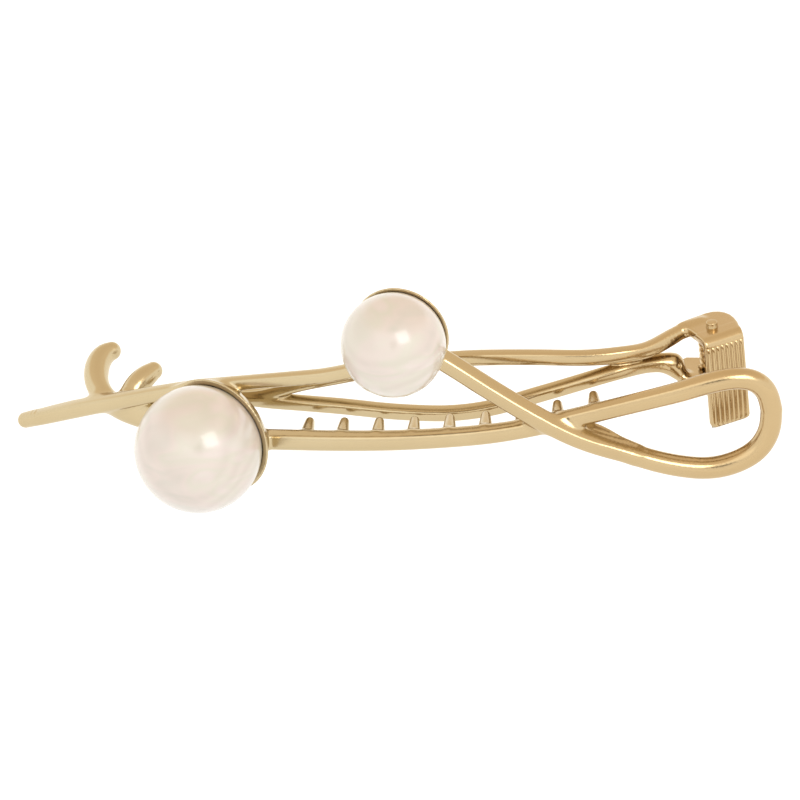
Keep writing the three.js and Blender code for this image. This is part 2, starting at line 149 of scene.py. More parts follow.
class Field:
    """Signed distances in millimetres on a regular grid: negative inside the metal."""

    # The distance where there is nothing yet, how far round a rod its distances are worked out,
    # how long the crest takes to rise from a free tip, and how round the edge of the crest is
    FAR = 3.0
    REACH = 1.8
    TIP_FADE = 2.5
    CREST_EDGE = 0.3

    def __init__(self, lo, hi, step):
        self.lo = np.array(lo, float)
        self.step = step
        self.shape = tuple(int(math.ceil((b - a) / step)) + 1 for a, b in zip(lo, hi))
        self.values = np.full(self.shape, self.FAR, np.float32)

    def window(self, lo, hi):
        """The slices and the coordinates of the grid points between two corners."""
        slices, axes = [], []
        for axis in range(3):
            first = max(0, int(math.floor((lo[axis] - self.lo[axis]) / self.step)))
            last = min(self.shape[axis], int(math.ceil((hi[axis] - self.lo[axis]) / self.step)) + 1)
            slices.append(slice(first, max(first, last)))
            axes.append(self.lo[axis] + self.step * np.arange(first, max(first, last)))
        return tuple(slices), np.meshgrid(*axes, indexing="ij", sparse=True)

    def add(self, distance, lo, hi, fillet):
        """Joins on a shape given by a function of x, y and z, inside the box from lo to hi."""
        part, (x, y, z) = self.window(lo, hi)
        self.values[part] = soft_min(self.values[part], distance(x, y, z), fillet)

    def cut(self, distance, lo, hi, edge):
        """Takes away a shape given by a function of x, y and z."""
        part, (x, y, z) = self.window(lo, hi)
        self.values[part] = soft_max(self.values[part], -distance(x, y, z), edge)

    def add_rod(self, rows, fillet=0.9, ridge=None, lean=38.0, iron=3, tips=(False, False), calm=None):
        """A rod along rows of x, y, z, radius and crest. ridge is the way its soft peak faces.

        lean turns the two facets beside the peak, iron is how often the line is evened out, tips says
        which ends are free and so round, and calm is a point near which the join has no fillet.
        """
        rows = [row if len(row) > 4 else (*row, ROUND) for row in rows]
        line = spline(rows)
        for _ in range(iron):
            line[1:-1] = 0.25 * line[:-2] + 0.5 * line[1:-1] + 0.25 * line[2:]
        travelled = np.concatenate([[0], np.cumsum(np.linalg.norm(np.diff(line[:, :3], axis=0), axis=1))])
        to_end = np.full(len(line), np.inf)
        if tips[0]:
            to_end = np.minimum(to_end, travelled)
        if tips[1]:
            to_end = np.minimum(to_end, travelled[-1] - travelled)
        lo = line[:, :3].min(0) - line[:, 3].max() - self.REACH
        hi = line[:, :3].max(0) + line[:, 3].max() + self.REACH
        part, _ = self.window(lo, hi)
        corner = [s.start for s in part]
        size = [s.stop - s.start for s in part]
        nearest = np.full(size, 1e9, np.float32)
        shape = np.full(size, self.FAR, np.float32)
        facing = np.array(ridge if ridge is not None else (0.0, -1.0, 0.0), float)
        for p, q, end in zip(line[:-1], line[1:], to_end):
            span = q[:3] - p[:3]
            length = np.linalg.norm(span)
            peak = p[4] + (ROUND - p[4]) * max(0.0, 1 - end / self.TIP_FADE)
            tangent = span / length
            front = facing - tangent * facing.dot(tangent)
            front /= np.linalg.norm(front)
            side = np.cross(tangent, front)
            margin = max(p[3], q[3]) + self.REACH
            near, far = np.minimum(p[:3], q[:3]) - margin, np.maximum(p[:3], q[:3]) + margin
            box, (x, y, z) = self.window(near, far)
            rx, ry, rz = x - p[0], y - p[1], z - p[2]
            t = np.clip((rx * tangent[0] + ry * tangent[1] + rz * tangent[2]) / length, 0, 1)
            rx, ry, rz = rx - t * span[0], ry - t * span[1], rz - t * span[2]
            radius = p[3] + t * (q[3] - p[3])
            away = np.sqrt(rx * rx + ry * ry + rz * rz)
            across = rx * side[0] + ry * side[1] + rz * side[2]
            ahead = rx * front[0] + ry * front[1] + rz * front[2]
            value = away - radius
            if ridge is not None and peak < 1.15:
                slope = math.radians(lean)
                width = np.sqrt(across * across + 0.01) - 0.02
                roof = width * math.sin(slope) + ahead * math.cos(slope) - peak * radius
                value = soft_max(value, roof, self.CREST_EDGE)
            local = tuple(slice(s.start - c, s.stop - c) for s, c in zip(box, corner))
            closer = away < nearest[local]
            nearest[local] = np.where(closer, away, nearest[local])
            shape[local] = np.where(closer, value, shape[local])
        if calm is not None:
            _, (x, y, z) = self.window(lo, hi)
            away = np.sqrt((x - calm[0]) ** 2 + (y - calm[1]) ** 2 + (z - calm[2]) ** 2)
            fillet = np.maximum(0.02, fillet * np.clip(away / 4 - 0.7, 0, 1))
        self.values[part] = soft_min(self.values[part], shape, fillet)

    def sample(self, points):
        """The distance at each point, by trilinear interpolation."""
        at = (points - self.lo) / self.step
        base = np.clip(np.floor(at).astype(int), 0, np.array(self.shape) - 2)
        f = at - base
        i, j, k = base.T
        v = self.values
        x0 = v[i, j, k] * (1 - f[:, 0]) + v[i + 1, j, k] * f[:, 0]
        x1 = v[i, j + 1, k] * (1 - f[:, 0]) + v[i + 1, j + 1, k] * f[:, 0]
        x2 = v[i, j, k + 1] * (1 - f[:, 0]) + v[i + 1, j, k + 1] * f[:, 0]
        x3 = v[i, j + 1, k + 1] * (1 - f[:, 0]) + v[i + 1, j + 1, k + 1] * f[:, 0]
        y0 = x0 * (1 - f[:, 1]) + x1 * f[:, 1]
        y1 = x2 * (1 - f[:, 1]) + x3 * f[:, 1]
        return y0 * (1 - f[:, 2]) + y1 * f[:, 2]

    def slope(self, points):
        """The field's gradient at each point."""
        out = np.empty_like(points)
        for axis in range(3):
            shift = np.zeros(3)
            shift[axis] = self.step
            out[:, axis] = (self.sample(points + shift) - self.sample(points - shift)) / (2 * self.step)
        return out

    def skin(self):
        """Vertices and four-sided faces of the surface where the distance is zero."""
        v = self.values
        inside = v < 0
        corners = [(a, b, c) for a in (0, 1) for b in (0, 1) for c in (0, 1)]
        cut_shape = tuple(n - 1 for n in self.shape)

        def corner_view(array, offset):
            return array[tuple(slice(o, o + n) for o, n in zip(offset, cut_shape))]

        total = np.zeros(cut_shape, np.uint8)
        for offset in corners:
            total += corner_view(inside, offset)
        active = (total > 0) & (total < 8)
        cells = np.argwhere(active)
        index = np.full(cut_shape, -1, np.int32)
        index[active] = np.arange(len(cells))
        held = [v[tuple((cells + offset).T)] for offset in corners]
        middle = np.zeros((len(cells), 3))
        count = np.zeros(len(cells))
        for m, first in enumerate(corners):
            for n, second in enumerate(corners):
                if n <= m or sum(abs(a - b) for a, b in zip(first, second)) != 1:
                    continue
                crosses = (held[m] < 0) != (held[n] < 0)
                gap = np.where(crosses, held[m] - held[n], 1.0)
                t = np.where(crosses, held[m] / gap, 0.0)
                at = np.array(first) + t[:, None] * (np.array(second) - np.array(first))
                middle += at * crosses[:, None]
                count += crosses
        verts = self.lo + self.step * (cells + middle / count[:, None])
        faces = []
        for axis in range(3):
            u, w = (axis + 1) % 3, (axis + 2) % 3
            low = [slice(None)] * 3
            high = [slice(None)] * 3
            low[axis], high[axis] = slice(0, -1), slice(1, None)
            change = inside[tuple(low)] != inside[tuple(high)]
            edges = np.argwhere(change)
            edges = edges[(edges[:, u] > 0) & (edges[:, w] > 0)]
            step_u, step_w = np.eye(3, dtype=int)[u], np.eye(3, dtype=int)[w]
            ring = [edges - step_u - step_w, edges - step_w, edges, edges - step_u]
            quad = np.stack([index[tuple(np.minimum(c, np.array(cut_shape) - 1).T)] for c in ring], 1)
            out = inside[tuple(edges.T)]
            faces.append(np.where(out[:, None], quad, quad[:, ::-1]))
        faces = np.vstack(faces)
        for _ in range(3):
            grad = self.slope(verts)
            size = np.maximum((grad * grad).sum(1), 0.05)
            move = grad * (self.sample(verts) / size)[:, None]
            verts = verts - np.clip(move, -self.step, self.step)
        return verts, faces


def mesh_piece(name, verts, faces, material):
    """An object from millimetre vertices in the design frame."""
    mesh = bpy.data.meshes.new(name)
    points = (np.array(verts, float) + SHIFT) * MM
    mesh.from_pydata(points.tolist(), [], [list(map(int, f)) for f in faces])
    mesh.validate()
    mesh.update()
    mesh.materials.append(material)
    mesh.polygons.foreach_set("use_smooth", [True] * len(mesh.polygons))
    piece = bpy.data.objects.new(name, mesh)
    bpy.context.scene.collection.objects.link(piece)
    return piece


def outward_piece(name, verts, faces, material):
    """An object whose faces are all turned outwards."""
    piece = mesh_piece(name, verts, faces, material)
    work = bmesh.new()
    work.from_mesh(piece.data)
    bmesh.ops.recalc_face_normals(work, faces=work.faces)
    work.to_mesh(piece.data)
    work.free()
    return piece


def lathe(profile, axis_from, axis, segments):
    """Vertices and faces of a profile of (radius, distance) turned about an axis."""
    axis = np.array(axis, float)
    first = np.cross(axis, (0, 0, 1.0)) if abs(axis[2]) < 0.9 else np.array((1.0, 0, 0))
    first /= np.linalg.norm(first)
    second = np.cross(axis, first)
    verts, faces, rows = [], [], []
    for radius, distance in profile:
        base = len(verts)
        if radius < 1e-6:
            verts.append(np.array(axis_from) + axis * distance)
            rows.append([base] * segments)
            continue
        for s in range(segments):
            a = 2 * math.pi * s / segments
            verts.append(np.array(axis_from) + axis * distance
                         + radius * (math.cos(a) * first + math.sin(a) * second))
        rows.append(list(range(base, base + segments)))
    for upper, lower in zip(rows[:-1], rows[1:]):
        for s in range(segments):
            n = (s + 1) % segments
            face = []
            for v in (upper[s], upper[n], lower[n], lower[s]):
                if v not in face:
                    face.append(v)
            if len(face) > 2:
                faces.append(face)
    return verts, faces


# Materials ----------------------------------------------------------------------------------------

def new_material(name):
    """A node material, with its nodes, links, main shader and texture coordinates."""
    material = bpy.data.materials.new(name)
    material.use_nodes = True
    nodes, links = material.node_tree.nodes, material.node_tree.links
    shader = nodes["Principled BSDF"]
    place = nodes.new("ShaderNodeTexCoord")
    return material, nodes, links, shader, place


def noise(nodes, links, place, scale, detail, stretch=(1, 1, 1)):
    """Noise in the object's own coordinates."""
    spread = nodes.new("ShaderNodeMapping")
    spread.inputs["Scale"].default_value = stretch
    links.new(place.outputs["Object"], spread.inputs["Vector"])
    node = nodes.new("ShaderNodeTexNoise")
    node.inputs["Scale"].default_value = scale
    node.inputs["Detail"].default_value = detail
    links.new(spread.outputs["Vector"], node.inputs["Vector"])
    return node


def ramp(nodes, links, source, stops):
    """A colour for each value of source. A stop is a position with a colour or a single grey."""
    node = nodes.new("ShaderNodeValToRGB")
    links.new(source, node.inputs["Fac"])
    elements = node.color_ramp.elements
    while len(elements) < len(stops):
        elements.new(0.5)
    for element, (position, colour) in zip(elements, stops):
        element.position = position
        element.color = (*colour, 1) if len(colour) == 3 else (colour[0],) * 3 + (1,)
    return node


def multiply(nodes, links, first, second):
    """The product of two colours."""
    mix = nodes.new("ShaderNodeMix")
    mix.data_type = "RGBA"
    mix.blend_type = "MULTIPLY"
    mix.inputs["Factor"].default_value = 1.0
    links.new(first, mix.inputs[6])
    links.new(second, mix.inputs[7])
    return mix.outputs[2]


def gold_material(name, base, darker, rough_low, rough_high):
    """Polished plating: a slight colour drift, a painted warm reflection towards the hinge end, uneven
    polish and a faint grain.
    """
    material, nodes, links, shader, place = new_material(name)
    drift = noise(nodes, links, place, 90, 3)
    colour = ramp(nodes, links, drift.outputs["Fac"], [(0.3, darker), (0.7, base)])
    # Painted reflection: the base colour turns warmer along object x towards the hinge end, standing in for
    # warm surroundings mirrored there.
    along = nodes.new("ShaderNodeSeparateXYZ")
    links.new(place.outputs["Object"], along.inputs["Vector"])
    share = nodes.new("ShaderNodeMapRange")
    share.inputs["From Min"].default_value = -0.01
    share.inputs["From Max"].default_value = 0.045
    links.new(along.outputs["X"], share.inputs["Value"])
    painted_warm_reflection = ramp(nodes, links, share.outputs["Result"], [
        (0.0, (1.0, 1.0, 1.0)), (1.0, (0.97, 0.88, 0.78))])
    drift_with_painted_reflection = multiply(nodes, links, colour.outputs["Color"], painted_warm_reflection.outputs["Color"])
    links.new(drift_with_painted_reflection, shader.inputs["Base Color"])
    polish = noise(nodes, links, place, 420, 4)
    rough = ramp(nodes, links, polish.outputs["Fac"], [(0.3, (rough_low,)), (0.75, (rough_high,))])
    links.new(rough.outputs["Color"], shader.inputs["Roughness"])
    grain = noise(nodes, links, place, 900, 3)
    bump = nodes.new("ShaderNodeBump")
    bump.inputs["Strength"].default_value = 0.03
    bump.inputs["Distance"].default_value = 0.0002
    links.new(grain.outputs["Fac"], bump.inputs["Height"])
    links.new(bump.outputs["Normal"], shader.inputs["Normal"])
    shader.inputs["Metallic"].default_value = 1.0
    return material


def pearl_material():
    """Ivory lacquer with soft layered swirls, a pale pink and green overtone, and painted shade that
    darkens its outline.
    """
    material, nodes, links, shader, place = new_material("pearl_lacquer")
    swirl = noise(nodes, links, place, 95, 2, (1.0, 1.0, 2.2))
    swirl.inputs["Distortion"].default_value = 0.7
    body = ramp(nodes, links, swirl.outputs["Fac"], [
        (0.32, (0.49, 0.46, 0.41)), (0.45, (0.56, 0.49, 0.45)), (0.54, (0.53, 0.50, 0.43)),
        (0.63, (0.58, 0.51, 0.48)), (0.74, (0.57, 0.55, 0.49))])
    layers = nodes.new("ShaderNodeTexWave")
    layers.wave_type = "RINGS"
    layers.inputs["Scale"].default_value = 150
    layers.inputs["Distortion"].default_value = 11.0
    layers.inputs["Detail"].default_value = 2.0
    layers.inputs["Detail Scale"].default_value = 0.5
    links.new(place.outputs["Object"], layers.inputs["Vector"])
    streak = ramp(nodes, links, layers.outputs["Fac"], [(0.0, (0.95, 0.945, 0.94)), (1.0, (1.0, 1.0, 1.0))])
    facing = nodes.new("ShaderNodeLayerWeight")
    facing.inputs["Blend"].default_value = 0.35
    # The pink and green overtone by viewing angle is the pearl's own; the warm darkening at the grazing
    # outline is painted shade.
    edge = ramp(nodes, links, facing.outputs["Facing"], [
        (0.0, (1.0, 1.0, 1.0)), (0.45, (1.0, 0.975, 0.965)),
        (0.75, (0.93, 0.95, 0.92)), (1.0, (0.72, 0.68, 0.60))])
    tint = multiply(nodes, links, body.outputs["Color"], streak.outputs["Color"])
    tint = multiply(nodes, links, tint, edge.outputs["Color"])
    links.new(tint, shader.inputs["Base Color"])
    fine = noise(nodes, links, place, 600, 3)
    rough = ramp(nodes, links, fine.outputs["Fac"], [(0.3, (0.28,)), (0.7, (0.36,))])
    links.new(rough.outputs["Color"], shader.inputs["Roughness"])
    shader.inputs["Coat Weight"].default_value = 0.9
    shader.inputs["Coat Roughness"].default_value = 0.14
    shader.inputs["Specular IOR Level"].default_value = 0.8
    return material


def floor_material():
    """Pale paper that glows a little, so that it stays even and near white."""
    material, nodes, links, shader, place = new_material("studio_paper")
    fibre = noise(nodes, links, place, 60, 4)
    colour = ramp(nodes, links, fibre.outputs["Fac"], [
        (0.3, (0.26, 0.26, 0.255)), (0.7, (0.28, 0.28, 0.275))])
    links.new(colour.outputs["Color"], shader.inputs["Base Color"])
    shader.inputs["Roughness"].default_value = 0.9
    shader.inputs["Emission Color"].default_value = (1, 1, 0.99, 1)
    shader.inputs["Emission Strength"].default_value = 0.95
    return material


def glue_material():
    """Cloudy, pale yellow resin."""
    material, nodes, links, shader, place = new_material("adhesive")
    cloud = noise(nodes, links, place, 500, 2)
    colour = ramp(nodes, links, cloud.outputs["Fac"], [
        (0.3, (0.80, 0.76, 0.66)), (0.7, (0.86, 0.82, 0.73))])
    links.new(colour.outputs["Color"], shader.inputs["Base Color"])
    shader.inputs["Roughness"].default_value = 0.35
    return material


GOLD = gold_material("gold_plate", (0.55, 0.452, 0.282), (0.52, 0.418, 0.252), 0.19, 0.26)
WIRE = gold_material("spring_wire", (0.64, 0.53, 0.34), (0.59, 0.48, 0.30), 0.2, 0.3)
PEARL = pearl_material()
GLUE = glue_material()


# Front half: one casting --------------------------------------------------------------------------

# Ways that the crest of a rod can face
UPWARD = (0.0, -0.70, 0.71)
LEVEL = (0.1, -0.88, 0.47)

TAIL = on_arch([
    (-53.25, -11.0, 1.06), (-50.5, -9.7, 1.16), (-45.5, -7.4, 1.24), (-37.5, -4.2, 1.14),
    (-28.8, -1.1, 1.04), (-20.3, 1.0, 1.0), (-14.8, 2.1, 1.0), (-9.2, 3.2, 1.02), (-4.5, 4.8, 1.05),
    (-1.0, 7.6, 1.1)])
LOOP_SIDE = (47.9, -4.4, 1.44, 0.0, ROUND)
CROSS_ROD = on_arch([
    (0.5, 9.8, 1.4), (6.7, 5.7, 1.42), (12.2, 1.7, 1.42, -0.2), (16.7, -1.4, 1.42, -0.5),
    (22.3, -5.1, 1.4, -0.6, 0.88), (26.0, -7.1, 1.4, -0.3, 0.9), (28.9, -8.4, 1.4, 0.0, 0.93),
    (32.7, -10.1, 1.42, 0.0, 0.96),
    (35.9, -11.2, 1.44, 0.0, 1.0), (39.3, -11.9, 1.46, 0.0, 1.1), (42.5, -11.6, 1.48, 0.0, ROUND),
    (45.7, -10.1, 1.48, 0.0, ROUND), (47.5, -7.3, 1.46, 0.0, ROUND), LOOP_SIDE])
STRAND = on_arch([
    LOOP_SIDE, (47.5, -1.6, 1.44, 0.0, ROUND), (46.1, 0.2, 1.44, 0.0, ROUND), (43.6, 0.9, 1.42, 0.0, ROUND),
    (40.0, 0.55, 1.42, 0.0, 1.1), (36.7, -0.2, 1.38, 0.0, 0.98), (33.4, -0.8, 1.34, 0.0, 0.9),
    (27.3, -2.1, 1.3, 0.3), (21.0, -3.5, 1.3, 0.5), (15.6, -4.4, 1.3, 0.2),
    (10.8, -5.0, 1.34), (0.0, -6.0, 1.36), (-8.6, -6.6, 1.38), (-20.2, -7.5, 1.38)])
# Fills the narrow end of the loop, where its two sides run together
THROAT = on_arch([
    (20.0, -4.0, 1.1, 0.6, 0.4), (23.2, -4.7, 1.25, 0.7, 0.25), (25.6, -5.6, 1.3, 0.5, 0.2),
    (27.8, -7.2, 1.3, 0.2, 0.4), (30.2, -8.8, 1.3, 0.0, 0.8)])
TOOTH_PITCH = 4.85
TOOTH_FIRST = -13.4
TOOTH_COUNT = 9
# One tooth from its root: share of the lean, distance back, rise and radius
TOOTH = [(0.0, 0.0, 0.0, 1.0), (1.7, 1.7, 0.05, 0.9), (4.4, 4.3, 0.15, 0.64)]
LONG_PRONG = [
    (-31.5, 5.4, -7.1, 1.5), (-34.5, 7.4, -7.5, 1.45), (-37.2, 8.6, -7.5, 1.42), (-39.6, 9.6, -7.0, 1.42),
    (-41.7, 10.9, -6.15, 1.45), (-43.0, 12.6, -5.2, 1.55), (-43.5, 14.8, -4.4, 1.66),
    (-43.4, 16.8, -3.8, 1.6), (-42.8, 18.0, -3.35, 1.46), (-42.0, 18.5, -3.25, 1.25)]
PALM = [(-37.5, 8.8, -6.6, 1.3), (-34.0, 7.4, -6.0, 1.5), (-30.5, 5.2, -5.6, 1.6)]
SHORT_PRONG = [
    (-38.6, 9.6, -6.2, 1.5), (-37.9, 10.7, -4.9, 1.55), (-37.1, 11.9, -4.2, 1.6),
    (-36.3, 13.0, -3.8, 1.5), (-35.6, 13.8, -3.6, 1.22)]
EAR = {"radius": 2.2, "bottom": -6.1, "top": -4.7}
EAR_NECK = [
    (35.9, 5.0, -0.9, 0.9), (35.5, 6.8, -1.9, 0.9), (35.3, 9.0, -3.1, 0.85), (35.6, 11.3, -4.7, 0.8),
    (35.7, 12.8, -5.4, 0.68), (37.2, 14.3, -5.4, 0.68)]
SEAT_GAP = 0.03


def strand_z(x):
    """Height of the lower strand's axis at x."""
    straight = STRAND[5:][::-1]
    return float(np.interp(x, [row[0] for row in straight], [row[2] for row in straight]))


def cup_axis(size):
    """The way from a pearl's centre to the middle of its cup."""
    turn = math.radians(size["turn"])
    return np.array([math.sin(turn), math.cos(turn), 0.0])


def add_cup(field, size, fillet):
    """A dish behind the pearl with a rounded rim."""
    centre = np.array(size["centre"])
    axis = cup_axis(size)
    wall = size["wall"]
    middle = size["radius"] + SEAT_GAP + wall / 2
    rim = size["radius"] * 0.5

    def shell(x, y, z):
        px, py, pz = x - centre[0], y - centre[1], z - centre[2]
        away = np.sqrt(px * px + py * py + pz * pz)
        ahead = px * axis[0] + py * axis[1] + pz * axis[2]
        return soft_max(np.abs(away - middle) - wall / 2, rim - ahead, 0.12)

    reach = size["radius"] + wall + 3
    field.add(shell, centre - reach, centre + reach, fillet)


def cut_capsule(field, centre, radius, half_height, edge):
    """Takes away an upright rod with round ends, or a ball where half_height is 0."""
    def distance(x, y, z):
        up = np.maximum(np.abs(z - centre[2]) - half_height, 0)
        return np.sqrt((x - centre[0]) ** 2 + (y - centre[1]) ** 2 + up ** 2) - radius

    reach = radius + half_height + 2
    field.cut(distance, np.array(centre) - reach, np.array(centre) + reach, edge)


def flat_plate(outline, bottom, top, rounding):
    """Distance to a level plate with a polygon outline of (x, y) points, its edges rounded."""
    points = np.array(outline, float)

    def distance(x, y, z):
        x, y = np.broadcast_arrays(x, y)
        nearest = np.full(x.shape, 1e9)
        inside = np.zeros(x.shape, bool)
        for a, b in zip(points, np.roll(points, -1, axis=0)):
            edge = b - a
            wx, wy = x - a[0], y - a[1]
            t = np.clip((wx * edge[0] + wy * edge[1]) / edge.dot(edge), 0, 1)
            nearest = np.minimum(nearest, (wx - t * edge[0]) ** 2 + (wy - t * edge[1]) ** 2)
            crosses = (a[1] > y) != (b[1] > y)
            rise = edge[1] if edge[1] != 0 else 1e-9
            inside ^= crosses & (x < a[0] + (y - a[1]) * edge[0] / rise)
        side = np.where(inside, -1, 1) * np.sqrt(nearest) + rounding
        level = np.abs(z - (top + bottom) / 2) - (top - bottom) / 2 + rounding
        outer = np.sqrt(np.maximum(side, 0) ** 2 + np.maximum(level, 0) ** 2)
        return outer + np.minimum(np.maximum(side, level), 0) - rounding

    return distance


def circle_points(centre, radius, start, stop, count):
    """Points along an arc, in degrees."""
    angles = np.radians(np.linspace(start, stop, count))
    return [(centre[0] + radius * math.cos(a), centre[1] + radius * math.sin(a)) for a in angles]


def front_casting():
    """The ribbon with its loop, comb, cups, claw and hinge ear, as one skin."""
    field = Field((-55.5, -7.5, -19.0), (51.5, 23.0, 20.5), FRONT_GRID)
    field.add_rod(TAIL, ridge=UPWARD, tips=(True, False))
    field.add_rod(CROSS_ROD, ridge=LEVEL, iron=6)
    field.add_rod(STRAND, ridge=UPWARD, iron=6, calm=CROSS_ROD[-1][:3])
    field.add_rod(THROAT, fillet=0.6, ridge=(0.05, -0.4, 0.915), lean=0.0)
    for i in range(TOOTH_COUNT):
        x = TOOTH_FIRST + i * TOOTH_PITCH
        root, z = arch_y(x) + 0.5, strand_z(x)
        lean = -0.05 - 0.004 * (x - TOOTH_FIRST)
        tooth = [(x + share * lean, root + back, z + rise, radius) for share, back, rise, radius in TOOTH]
        field.add_rod(tooth, fillet=0.5, iron=0)
    field.add_rod(LONG_PRONG, fillet=1.2)
    field.add_rod(PALM, fillet=0.8)
    field.add_rod(SHORT_PRONG, fillet=1.2)
    for size in (LARGE, SMALL):
        add_cup(field, size, 0.8)
    ear = flat_plate(circle_points(HINGE, EAR["radius"], 0, 350, 36), EAR["bottom"], EAR["top"], 0.25)
    field.add(ear, (35, 11, -8), (43, 19, -3), 0.5)
    field.add_rod(EAR_NECK, fillet=0.5)
    for size in (LARGE, SMALL):
        cut_capsule(field, size["centre"], size["radius"] + SEAT_GAP, 0, 0.1)
    return mesh_piece("front_casting", *field.skin(), GOLD)


# Back half: one casting ---------------------------------------------------------------------------

BACK_UPPER = on_arch([
    (-31.0, -5.6, 1.0), (-26.0, -5.4, 1.15), (-21.0, -4.7, 1.15), (-15.0, -2.5, 1.08), (-8.7, -0.7, 1.08),
    (-2.0, 1.1, 1.08), (7.0, 2.4, 1.08), (16.2, 2.5, 1.08), (23.5, 2.1, 1.1), (27.8, 1.9, 1.15, 0.6)],
    BACK_OFFSET)
BACK_LOWER = on_arch([
    (-26.0, -5.4, 1.1), (-20.2, -5.55, 1.1), (-15.2, -5.45, 1.08), (-9.6, -5.45, 1.08), (-2.0, -5.8, 1.08),
    (5.4, -5.75, 1.08), (11.0, -4.85, 1.08), (15.8, -3.4, 1.1), (20.0, -2.2, 1.1), (25.6, -0.65, 1.12),
    (28.2, -0.3, 1.15, 0.6)], BACK_OFFSET)
UPPER_ARM = [(31.0, 11.5, 1.65, 1.12, RIDGED), (33.6, 14.0, 2.05, 1.12, 0.95),
             (35.3, 15.75, 2.35, 0.98, ROUND), (37.3, 17.2, 2.5, 0.72, ROUND)]
LOWER_ARM = [(31.0, 12.3, -0.8, 1.2, RIDGED), (32.6, 13.2, -1.1, 1.32, 0.9), (33.9, 13.95, -1.6, 1.36, 1.0)]
LUG_TOP, LUG_BOTTOM = 3.2, 1.9
# The thumb tab: place and size of its plate, and the count and height of its ribs
TAB = {"x": 39.15, "y": 10.8, "turn": 38.0, "width": 5.75, "thick": 0.9, "bottom": -9.85,
       "ribs": 8, "rib": 0.24}
BEND = 1.2
FLARE = 0.17
# A small dent and a small notch that the photograph shows on the arms
DIMPLE = {"centre": (34.9, 12.85, -1.35), "radius": 0.32, "half_height": 0}
NOTCH = {"centre": (29.8, 10.6, -0.7), "radius": 0.26, "half_height": 0.5}


def tab_point(along, inwards):
    """A point on the thumb tab: along its width, then in from the front of its ribs."""
    a = math.radians(TAB["turn"])
    return (TAB["x"] + along * math.cos(a) - inwards * math.sin(a),
            TAB["y"] + along * math.sin(a) + inwards * math.cos(a))


def bent_plate(width, corner):
    """Distance to the tab's plate: level at the top, round the bend, then straight down."""
    a = math.radians(TAB["turn"])
    half = TAB["thick"] / 2
    behind = TAB["rib"] + half
    top = LUG_TOP - half
    middle = BEND - half
    path = [(behind + BEND + 1.0, top)]
    for i in range(9):
        angle = math.pi / 2 * (1 - i / 8)
        path.append((behind + middle - middle * math.cos(angle), top - middle + middle * math.sin(angle)))
    path.append((behind, TAB["bottom"] + half))

    def distance(x, y, z):
        along = (x - TAB["x"]) * math.cos(a) + (y - TAB["y"]) * math.sin(a)
        inwards = (y - TAB["y"]) * math.cos(a) - (x - TAB["x"]) * math.sin(a)
        nearest = 1e9
        for (v0, z0), (v1, z1) in zip(path[:-1], path[1:]):
            dv, dz = v1 - v0, z1 - z0
            t = np.clip(((inwards - v0) * dv + (z - z0) * dz) / (dv * dv + dz * dz), 0, 1)
            nearest = np.minimum(nearest, np.hypot(inwards - v0 - t * dv, z - z0 - t * dz))
        flare = FLARE * np.clip(inwards - 0.5, 0, 4)
        across = np.maximum(-along, along - width - flare) + corner
        down = TAB["bottom"] + corner - z
        frame_edge = np.hypot(np.maximum(across, 0), np.maximum(down, 0))
        frame_edge = frame_edge + np.minimum(np.maximum(across, down), 0) - corner
        return soft_max(nearest - half, frame_edge, 0.3)

    return distance


UPPER_LUG = [
    tab_point(0.05, 1.0), tab_point(TAB["width"], 1.0), tab_point(TAB["width"] + 0.25, 2.0),
    (42.35, 16.95), (41.75, 18.05), (41.05, 18.95), (40.25, 19.5), (39.4, 19.75), (38.5, 19.65),
    (37.5, 19.1), (36.4, 18.0), (35.5, 16.9), (34.9, 15.9), (36.0, 14.9), (37.2, 13.5)]
LOWER_LUG = [
    (34.3, 14.2), (35.2, 12.4), (36.5, 12.5), *circle_points(HINGE, 2.35, -100, 80, 16),
    (36.9, 18.4), (34.8, 18.4), (34.1, 17.6)]
GUSSET = [(33.7, 13.5, -1.6, 1.2), (34.6, 13.5, -2.6, 1.1), (35.5, 13.5, -3.6, 0.75)]


def back_casting():
    """The two strands with their arms, lugs and thumb tab, as one skin."""
    field = Field((-34.0, 4.5, -12.6), (47.0, 23.0, 6.0), BACK_GRID)
    field.add_rod(BACK_UPPER + UPPER_ARM, ridge=UPWARD, tips=(True, False))
    field.add_rod(BACK_LOWER + LOWER_ARM, ridge=LEVEL, fillet=0.45, tips=(True, True))
    field.add(flat_plate(UPPER_LUG, LUG_BOTTOM, LUG_TOP, 0.3), (33, 8, 0), (47, 22, 5.5), 0.9)
    field.add(bent_plate(TAB["width"], 0.8), (36, 8, -12.5), (47, 20, 5), 0.05)
    field.add(flat_plate(LOWER_LUG, -4.4, -3.0, 0.2), (31, 10, -7), (43, 20.5, -1), 0.7)
    field.add_rod(GUSSET, fillet=0.8, iron=0)
    cut_capsule(field, **DIMPLE, edge=0.08)
    cut_capsule(field, **NOTCH, edge=0.15)
    return mesh_piece("back_casting", *field.skin(), GOLD)


